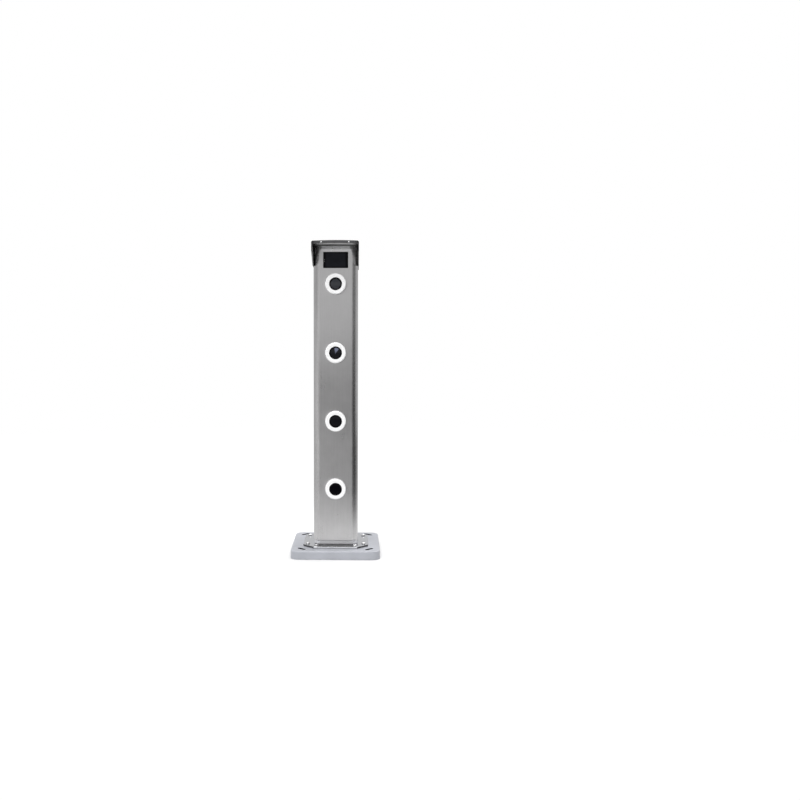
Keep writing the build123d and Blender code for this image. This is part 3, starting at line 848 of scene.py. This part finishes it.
@dataclass
class Foot:
    """Cast base, foot plate, gasket and socket."""

    paint: Colour = (0.372, 0.383, 0.420)

    def dress(self) -> None:
        """Finish every piece of the foot."""
        base = smooth_copy("base_plate", "cast_base")
        # Painted shade in the anchor slots
        paint = CastPaint("cast_paint", self.paint, painted_shading=PaintedSlotShade())
        stand_in(base, "base_plate", paint.build())
        plate = smooth_copy("foot_plate", "octagon_plate")
        # Painted shade and highlight on the plate and the socket
        foot_shade = PaintedFootShade()
        steel = BrushedSteel(
            "plate_steel", (0.66, 0.67, 0.70), roughness=0.18, spread=0.2, grain=Grain.ACROSS,
            depth=0.000001, contrast=0.04, tint=foot_shade,
        )
        stand_in(plate, "foot_plate", steel.build())
        socket = smooth_copy("post_socket", "socket_stub")
        bright = BrushedSteel(
            "socket_steel", (0.90, 0.90, 0.92), roughness=0.52, spread=0.0, contrast=0.05,
            tint=foot_shade,
        )
        stand_in(socket, "post_socket", bright.build())
        soft = {"roughness": 0.75, "texture": 0.00003}
        rubber = Moulding("black_rubber", (0.012, 0.012, 0.013), **soft).build()
        for node in ["gland_seal", *numbered("bezel_seal")]:
            give(node, rubber)
        give("foot_gasket", Moulding("gasket_rubber", (0.16, 0.16, 0.17), **soft).build())
        gland = Moulding("gland_plastic", (0.018, 0.018, 0.020), roughness=0.55).build()
        for node in ("cable_gland", "gland_nut"):
            give(node, gland)


@dataclass
class Post:
    """The square tube and what is clamped inside it."""

    tone: Colour = (0.58, 0.575, 0.58)
    corner: Span = (0.028, 0.032)

    def dress(self) -> None:
        """Finish the tube and the pieces inside."""
        tube = smooth_copy("post_tube", "brushed_tube")
        # Painted shade and highlight on the post under the hood
        steel = BrushedSteel("post_steel", self.tone, tint=PaintedCheekShade(), corner=self.corner)
        stand_in(tube, "post_tube", steel.build())
        give("module_rail", BrushedSteel("rail_steel", (0.5, 0.5, 0.51)).build())
        board = CircuitBoard("board_green").build()
        for node in ("control_board", "power_board", "display_board"):
            give(node, board)
        brass = PolishedSteel("standoff_brass", (0.62, 0.45, 0.17), roughness=0.3)
        give("board_standoffs", brass.build())
        block = Moulding("terminal_plastic", (0.02, 0.16, 0.05), roughness=0.45)
        give("terminal_block", block.build())
        relay = Moulding("relay_plastic", (0.015, 0.02, 0.07), roughness=0.4)
        give("power_relay", relay.build())


@dataclass
class Eyes:
    """White ring bezels with their dark filters, nuts and sensors, from the top one down."""

    white: Colour = (0.89, 0.89, 0.895)
    cells: tuple[Colour, ...] = (
        (0.030, 0.032, 0.037),
        (0.008, 0.008, 0.010),
        (0.005, 0.005, 0.007),
        (0.001, 0.001, 0.002),
    )
    glosses: tuple[float, ...] = (0.20, 0.12, 0.08, 0.04)
    # How strong the painted reflection is on each filter
    painted_reflections: tuple[float, ...] = (0.0, 1.0, 0.0, 0.0)

    def dress(self) -> None:
        """Finish the pieces of every eye."""
        white = Moulding(
            "bezel_white", self.white, roughness=0.24, texture=0.000004, fineness=900.0, clouding=0.01
        ).build()
        nickel = PolishedSteel("nut_nickel", (0.55, 0.52, 0.47), roughness=0.3).build()
        module = Moulding("module_black", (0.015, 0.015, 0.017)).build()
        for i, look in enumerate(zip(self.cells, self.glosses, self.painted_reflections)):
            number = i + 1
            ring = smooth_copy(f"lens_bezel_{number}", f"ring_bezel_{number}", RING_CREASE)
            stand_in(ring, f"lens_bezel_{number}", white)
            height = EYE_TOP_Z - i * EYE_PITCH
            dark = BeamFilter(f"lens_dark_{number}", height, *look).build()
            window = smooth_copy(f"lens_window_{number}", f"filter_{number}", RING_CREASE)
            stand_in(window, f"lens_window_{number}", dark)
            give(f"eye_nut_{number}", nickel)
            give(f"beam_module_{number}", module)


@dataclass
class Display:
    """The dark pane under the hood, what is behind it, and the cap."""

    frame_tone: Colour = (0.014, 0.014, 0.015)
    cap_tone: Colour = (0.11, 0.11, 0.112)
    panel_tone: Colour = (0.02, 0.022, 0.026)

    def dress(self) -> None:
        """Finish the display's pieces and the cap."""
        pane = smooth_copy("display_window", "display_glass")
        stand_in(pane, "display_window", DisplayPane("display_pane").build())
        give("display_frame", Moulding("black_plastic", self.frame_tone).build())
        give("top_cap", Moulding("cap_plastic", self.cap_tone).build())
        give("display_panel", Moulding("display_dark", self.panel_tone, roughness=0.2).build())


@dataclass
class Hood:
    """Folded rain hood and the strip behind its lip.

    The cheeks are cut to the length that the photograph shows. Their lower edge slopes down from
    the lip, bends at the foot and then runs level to the back.
    """

    tone: Colour = (0.056, 0.056, 0.059)
    trim_tone: Colour = (0.23, 0.23, 0.235)
    front_y: float = -0.0860
    front_z: float = 0.5410
    front_spare: float = 0.002
    foot_y: float = -0.0360
    foot_z: float = 0.5212
    foot_radius: float = 0.012
    foot_steps: int = 6
    back_y: float = 0.0440
    low_z: float = 0.5050
    half_width: float = 0.060

    def _edge(self) -> list[tuple[float, float]]:
        """Y and Z along the cheeks' lower edge, from the front to the back, round at the foot."""
        slope = math.atan2(self.front_z - self.foot_z, self.foot_y - self.front_y)
        reach = self.foot_radius * math.tan(slope / 2)
        rise = self.front_spare * math.tan(slope)
        points = [(self.front_y - self.front_spare, self.front_z + rise)]
        for i in range(self.foot_steps + 1):
            turn = slope * (1.0 - i / self.foot_steps)
            y = self.foot_y + reach - self.foot_radius * math.sin(turn)
            z = self.foot_z + self.foot_radius * (1.0 - math.cos(turn))
            points.append((y, z))
        points.append((self.back_y, self.foot_z))
        return points

    def _waste(self) -> bpy.types.Object:
        """All that lies below the cheeks' lower edge, as a closed block."""
        edge = self._edge()
        outline = [*edge, (edge[-1][0], self.low_z), (edge[0][0], self.low_z)]
        work = bmesh.new()
        sides = []
        for x in (-self.half_width, self.half_width):
            sides.append([work.verts.new((x, y, z)) for y, z in outline])
        work.faces.new(sides[0])
        work.faces.new(list(reversed(sides[1])))
        for i in range(len(outline)):
            j = (i + 1) % len(outline)
            work.faces.new((sides[0][j], sides[0][i], sides[1][i], sides[1][j]))
        bmesh.ops.recalc_face_normals(work, faces=work.faces)
        return drawn("cheek_waste", work)

    def dress(self) -> None:
        """Finish the hood's pieces."""
        hood = smooth_copy("hood", "rain_hood")
        cut_away(hood, self._waste())
        shade(hood)
        # Painted light and shade inside the hood
        paint = CastPaint("hood_dark", self.tone, peel=0.00003, coat=0.15, painted_shading=PaintedHoodLight())
        stand_in(hood, "hood", paint.build())
        trim = BrushedSteel(
            "trim_steel", self.trim_tone, roughness=0.32, spread=0.3, grain=Grain.ACROSS
        )
        give("hood_trim", trim.build())


@dataclass
class CrossHead:
    """Dome-head screw with a cross recess, drawn head up with its seat at the origin.

    The sizes are in metres. The other values are shares of the head's or the shank's size.
    """

    head_radius: float
    head_height: float
    shank_radius: float
    shank_length: float
    recess_reach: float = 0.62
    recess_width: float = 0.20
    recess_depth: float = 0.62
    recess_roof: float = 1.3
    recess_taper: float = 0.55
    tip_radius: float = 0.75
    tip_height: float = 0.3
    seat_radius: float = 0.985
    seat_height: float = 0.35
    side_height: float = 0.28
    rings: int = 10
    around: int = 40

    def _profile(self) -> list[tuple[float, float]]:
        """Radius and height of each ring, from the shank's tip to the crown."""
        side = self.head_height * self.side_height
        points = [
            (self.shank_radius * self.tip_radius, -self.shank_length),
            (self.shank_radius, -self.shank_length + self.shank_radius * self.tip_height),
            (self.shank_radius, 0.0),
            (self.head_radius * self.seat_radius, 0.0),
            (self.head_radius, side * self.seat_height),
            (self.head_radius, side),
        ]
        for i in range(1, self.rings):
            turn = math.pi / 2 * i / self.rings
            rise = (self.head_height - side) * math.sin(turn)
            points.append((self.head_radius * math.cos(turn), side + rise))
        return points

    def build(self) -> bpy.types.Object:
        """Make the screw as a template, which the fasteners remove once they have repeated it."""
        work = bmesh.new()
        loops = []
        for radius, height in self._profile():
            loop = []
            for i in range(self.around):
                turn = 2 * math.pi * i / self.around
                spot = (radius * math.cos(turn), radius * math.sin(turn), height)
                loop.append(work.verts.new(spot))
            loops.append(loop)
        for low, high in zip(loops, loops[1:]):
            for i in range(self.around):
                j = (i + 1) % self.around
                work.faces.new((low[i], low[j], high[j], high[i]))
        work.faces.new(list(reversed(loops[0])))
        work.faces.new(loops[-1])
        screw = drawn("screw_blank", work)
        cut_away(screw, self._cutter())
        screw.data.shade_smooth()
        screw.data.set_sharp_from_angle(angle=math.radians(SCREW_CREASE))
        return screw

    def _cutter(self) -> bpy.types.Object:
        """Tapered cross that cuts the recess."""
        work = bmesh.new()
        floor = self.head_height * (1.0 - self.recess_depth)
        roof = self.head_height * self.recess_roof
        reach = self.head_radius * self.recess_reach
        width = self.head_radius * self.recess_width
        for turn in (0.0, math.pi / 2):
            for vert in bmesh.ops.create_cube(work, size=2.0)["verts"]:
                upper = vert.co.z > 0
                taper = 1.0 if upper else self.recess_taper
                height = roof if upper else floor
                spot = Vector((vert.co.x * reach * taper, vert.co.y * width * taper, height))
                vert.co = Matrix.Rotation(turn, 3, "Z") @ spot
        return drawn("recess_cutter", work)


@dataclass
class Fasteners:
    """Screws of one kind, repeated on their places by Geometry Nodes."""

    name: str
    node: str
    slot: str
    template: bpy.types.Object
    spots: Sequence[Place]
    facing: Place
    material: bpy.types.Material
    seed: int
    spread: float = math.pi

    def _tree(self) -> bpy.types.NodeTree:
        """Node tree that turns each screw at random about its axis and faces it outwards."""
        tree = bpy.data.node_groups.new(f"{self.name}_tree", "GeometryNodeTree")
        for name, way, kind in (
            ("Geometry", "INPUT", "Geometry"),
            ("Screw", "INPUT", "Object"),
            ("Facing", "INPUT", "Vector"),
            ("Turn", "INPUT", "Float"),
            ("Seed", "INPUT", "Int"),
            ("Finish", "INPUT", "Material"),
            ("Geometry", "OUTPUT", "Geometry"),
        ):
            tree.interface.new_socket(name, in_out=way, socket_type=f"NodeSocket{kind}")
        make = tree.nodes.new
        entry = make("NodeGroupInput")
        leave = make("NodeGroupOutput")
        points = make("GeometryNodeMeshToPoints")
        screw = make("GeometryNodeObjectInfo")
        align = make("FunctionNodeAlignRotationToVector")
        align.axis = "Z"
        chance = make("FunctionNodeRandomValue")
        about = make("FunctionNodeAxisAngleToRotation")
        about.inputs["Axis"].default_value = (0.0, 0.0, 1.0)
        turned = make("FunctionNodeRotateRotation")
        turned.rotation_space = "LOCAL"
        place = make("GeometryNodeInstanceOnPoints")
        real = make("GeometryNodeRealizeInstances")
        finish = make("GeometryNodeSetMaterial")
        for source, output, target, entrance in (
            (entry, "Geometry", points, "Mesh"),
            (entry, "Screw", screw, "Object"),
            (entry, "Facing", align, "Vector"),
            (entry, "Turn", chance, CHANCE_MOST),
            (entry, "Seed", chance, "Seed"),
            (chance, CHANCE_VALUE, about, "Angle"),
            (align, "Rotation", turned, "Rotation"),
            (about, "Rotation", turned, "Rotate By"),
            (points, "Points", place, "Points"),
            (screw, "Geometry", place, "Instance"),
            (turned, "Rotation", place, "Rotation"),
            (place, "Instances", real, "Geometry"),
            (real, "Geometry", finish, "Geometry"),
            (entry, "Finish", finish, "Material"),
            (finish, "Geometry", leave, "Geometry"),
        ):
            tree.links.new(source.outputs[output], target.inputs[entrance])
        return tree

    def build(self) -> None:
        """Repeat the template on the places and make the result plain mesh."""
        mesh = bpy.data.meshes.new(f"{self.name}_places")
        mesh.from_pydata([Vector(spot) for spot in self.spots], [], [])
        piece = linked(self.name, mesh)
        modifier = piece.modifiers.new("places", "NODES")
        tree = self._tree()
        modifier.node_group = tree
        values = {
            "Screw": self.template,
            "Facing": self.facing,
            "Turn": self.spread,
            "Seed": self.seed,
            "Finish": self.material,
        }
        for item in tree.interface.items_tree:
            if item.in_out == "INPUT" and item.name in values:
                modifier[item.identifier] = values[item.name]
        settle(piece)
        bpy.data.objects.remove(self.template)
        stand_in(piece, self.node, self.material)


@dataclass
class Screws:
    """All the screws, rivets and washers."""

    far: float = 0.0505
    near: float = 0.0346
    foot_seat: float = 0.0191
    hood_seat: float = 0.5597
    hood_spacing: float = 0.044
    back_y: float = 0.040
    back_z: float = 0.045
    back_spacing: float = 0.040
    slot: str = "bright_screw"

    def build(self) -> None:
        """Make every group of dome-head screws, and finish the other fasteners."""
        bright = PolishedSteel(self.slot).build()
        foot = [
            (sx * x, sy * y, self.foot_seat)
            for x, y in ((self.far, self.near), (self.near, self.far))
            for sx in (-1, 1)
            for sy in (-1, 1)
        ]
        hood = [(0.0, side * self.hood_spacing / 2, self.hood_seat) for side in (-1, 1)]
        back = [(side * self.back_spacing / 2, self.back_y, self.back_z) for side in (-1, 1)]
        foot_screw = CrossHead(0.0035, 0.0024, 0.0020, 0.0120)
        hood_screw = CrossHead(0.0040, 0.0022, 0.0020, 0.0120)
        back_screw = CrossHead(0.0046, 0.0026, 0.0025, 0.0046)
        for name, node, screw, spots, facing, seed in (
            ("foot_dome_screws", "foot_screws", foot_screw, foot, (0, 0, 1), 3),
            ("hood_dome_screws", "hood_screws", hood_screw, hood, (0, 0, 1), 5),
            ("socket_dome_screws", "socket_screws", back_screw, back, (0, 1, 0), 9),
        ):
            template = screw.build()
            Fasteners(name, node, self.slot, template, spots, facing, bright, seed).build()
        for node in ("foot_washers", "hood_rivets", "board_screws", "display_studs", "display_nuts"):
            give(node, bright)


# Studio


@dataclass
class Lamp:
    """A soft rectangular lamp aimed at the middle of the post."""

    name: str
    place: Place
    width: float
    height: float
    power: float
    aim: Place = (0.0, 0.0, 0.28)
    mirrored: bool = True

    def build(self) -> None:
        """Hang the lamp."""
        data = bpy.data.lights.new(self.name, "AREA")
        data.shape = "RECTANGLE"
        data.size = self.width
        data.size_y = self.height
        data.energy = self.power
        lamp = linked(self.name, data)
        lamp.visible_glossy = self.mirrored
        lamp.location = self.place
        away = Vector(self.place) - Vector(self.aim)
        lamp.rotation_euler = away.to_track_quat("Z", "Y").to_euler()


@dataclass
class Studio:
    """White floor, white surround, soft lamps and the camera.

    The floor and the surround are white for the camera. Their tones are for everything else.
    """

    floor_radius: float = 2.6
    floor_sides: int = 96
    # Painted light on the floor, seen by all rays but the camera's
    floor_tone: float = 0.66
    floor_far_tone: float = 0.27
    floor_far: Span = (0.05, 0.90)
    floor_left_gain: float = 0.16
    floor_left: Span = (-0.10, -0.60)
    floor_right_loss: float = 0.88
    floor_right: Span = (0.15, 0.45)
    floor_right_front: Span = (0.10, -0.20)
    floor_right_far: Span = (0.10, 0.75)
    floor_open: Span = (0.275, 0.55)
    floor_lift: float = 0.04
    camera_tone: float = 0.74
    front_above: Stops = (
        (0.0, 0.22), (0.15, 0.30), (0.36, 0.50), (0.54, 0.52),
        (0.62, 0.28), (0.72, 0.10), (0.97, 0.09), (1.0, 0.3),
    )
    front_below: Stops = (
        (0.0, 0.40), (0.15, 0.42), (0.36, 0.22), (0.52, 0.15),
        (0.60, 0.06), (0.70, 0.02), (0.97, 0.02), (1.0, 0.3),
    )
    horizon: Span = (-0.006, 0.012)
    front_dark: float = 0.18
    front_dim: Span = (0.150, 0.185)
    back_level: float = 0.62
    behind: Span = (0.20, -0.10)
    top_level: float = 1.5
    overhead: Span = (0.45, 0.80)
    lens: float = 37.07
    sensor: float = 36.0
    camera_place: Place = (0.0365, -1.5182, 0.3611)
    camera_range: float = 50.0
    pitch: float = 3.10
    yaw: float = 1.46
    frame_pixels: int = 800
    axis_pixel: float = 335.0
    lamps: tuple[Lamp, ...] = (
        Lamp("front_softbox", (-0.5, -1.9, 2.2), 1.6, 1.2, 36.0),
        Lamp("front_fill", (-0.3, -1.7, 0.30), 1.6, 0.5, 6.2, mirrored=False),
        Lamp("back_softbox", (0.9, 1.7, 2.1), 1.4, 1.2, 22.0),
    )

    def build(self) -> None:
        """Build the floor, the surround, the lamps and the camera."""
        self._floor()
        self._surround()
        for lamp in self.lamps:
            lamp.build()
        self._camera()

    def _floor(self) -> None:
        """Round white floor that the camera sees as white, with the object's shadow on it."""
        work = bmesh.new()
        bmesh.ops.create_circle(
            work, cap_ends=True, radius=self.floor_radius, segments=self.floor_sides
        )
        floor = drawn("studio_floor", work)
        shader = Shader.of_material("studio_floor")
        seen = shader.add("ShaderNodeLightPath", output="Is Camera Ray")
        x, y, _ = shader.here()
        radius = (x * x + y * y + TINY).power(0.5)
        part = radius.power(-1.0)
        # Painted light on the floor for all rays but the camera's: brighter near the post, dimmer far
        # out, lighter far to the left and darker to the right front
        far = radius.fade(*self.floor_far)
        across = x * part
        right = across.fade(*self.floor_right) * (y * part).fade(*self.floor_right_front)
        right = right * radius.fade(*self.floor_right_far) * self.floor_right_loss
        left = across.fade(*self.floor_left) * far
        side = self.floor_far_tone + left * self.floor_left_gain
        shade = self.floor_tone * (1.0 - far) + side * far
        shown = shader.blend(shade * (1.0 - right), BLACK, WHITE)
        open_floor = radius.fade(*self.floor_open)
        bright = shader.blend(open_floor, (self.camera_tone,) * 3, BLACK)
        tone = shader.blend(seen, shown, bright)
        matt = shader.add("ShaderNodeBsdfDiffuse", {}, {"Color": tone})
        lift = seen * (self.floor_lift + open_floor)
        glow = shader.add("ShaderNodeEmission", {}, {"Strength": lift})
        both = shader.add("ShaderNodeAddShader", {}, {0: matt, 1: glow})
        shader.add("ShaderNodeOutputMaterial", {}, {"Surface": both})
        floor.data.materials.append(shader.owner)

    def _surround(self) -> None:
        """White world for the camera, and a soft grey studio for everything else."""
        world = bpy.data.worlds.new("studio")
        bpy.context.scene.world = world
        shader = Shader(world)
        x, y, z = shader.axes(shader.add("ShaderNodeTexCoord", output="Generated"))
        part = (x * x + y * y + TINY).power(-0.5)
        across = x * part
        above = self._ramp(shader, self.front_above, across)
        below = self._ramp(shader, self.front_below, across)
        horizon = z.fade(*self.horizon)
        low = below * (1.0 - horizon) + above * horizon
        dim = z.fade(*self.front_dim)
        low = low * (1.0 - dim) + dim * self.front_dark
        behind = (y * part * -1.0).fade(*self.behind)
        sides = low * (1.0 - behind) + behind * self.back_level
        top = z.fade(*self.overhead)
        glow = sides * (1.0 - top) + top * self.top_level
        seen = shader.add("ShaderNodeLightPath", output="Is Camera Ray")
        inputs = {"Color": (*WHITE, 1.0), "Strength": glow * (1.0 - seen) + seen}
        sky = shader.add("ShaderNodeBackground", {}, inputs)
        shader.add("ShaderNodeOutputWorld", {}, {"Surface": sky})

    @staticmethod
    def _ramp(shader: Shader, stops: Stops, across: Signal) -> Signal:
        """Level from left to right in front of the post.

        Args:
            shader: The world's node tree.
            stops: Places from 0 at the left to 1 at the right, each with half its level.
            across: Sine of the angle to the right of the front.

        Returns:
            The level.
        """
        level = shader.add("ShaderNodeValToRGB", {"stops": stops}, {0: across * 0.5 + 0.5})
        return level * 2.0

    def _camera(self) -> None:
        """Camera at the photograph's viewpoint."""
        data = bpy.data.cameras.new("camera")
        data.lens = self.lens
        data.sensor_width = self.sensor
        data.shift_x = (self.frame_pixels / 2 - self.axis_pixel) / self.frame_pixels
        data.clip_end = self.camera_range
        camera = bpy.data.objects.new("camera", data)
        camera.location = self.camera_place
        camera.rotation_euler = (math.radians(90.0 - self.pitch), 0.0, math.radians(self.yaw))
        bpy.context.scene.collection.objects.link(camera)
        bpy.context.scene.camera = camera


def main() -> None:
    """Dress every piece, then build the studio."""
    logging.basicConfig(level=logging.INFO, format="%(name)s: %(message)s")
    for part in (Foot(), Post(), Eyes(), Display(), Hood()):
        part.dress()
    Screws().build()
    Studio().build()
    bpy.context.scene.view_settings.view_transform = "Standard"


if __name__ == "__main__":
    main()
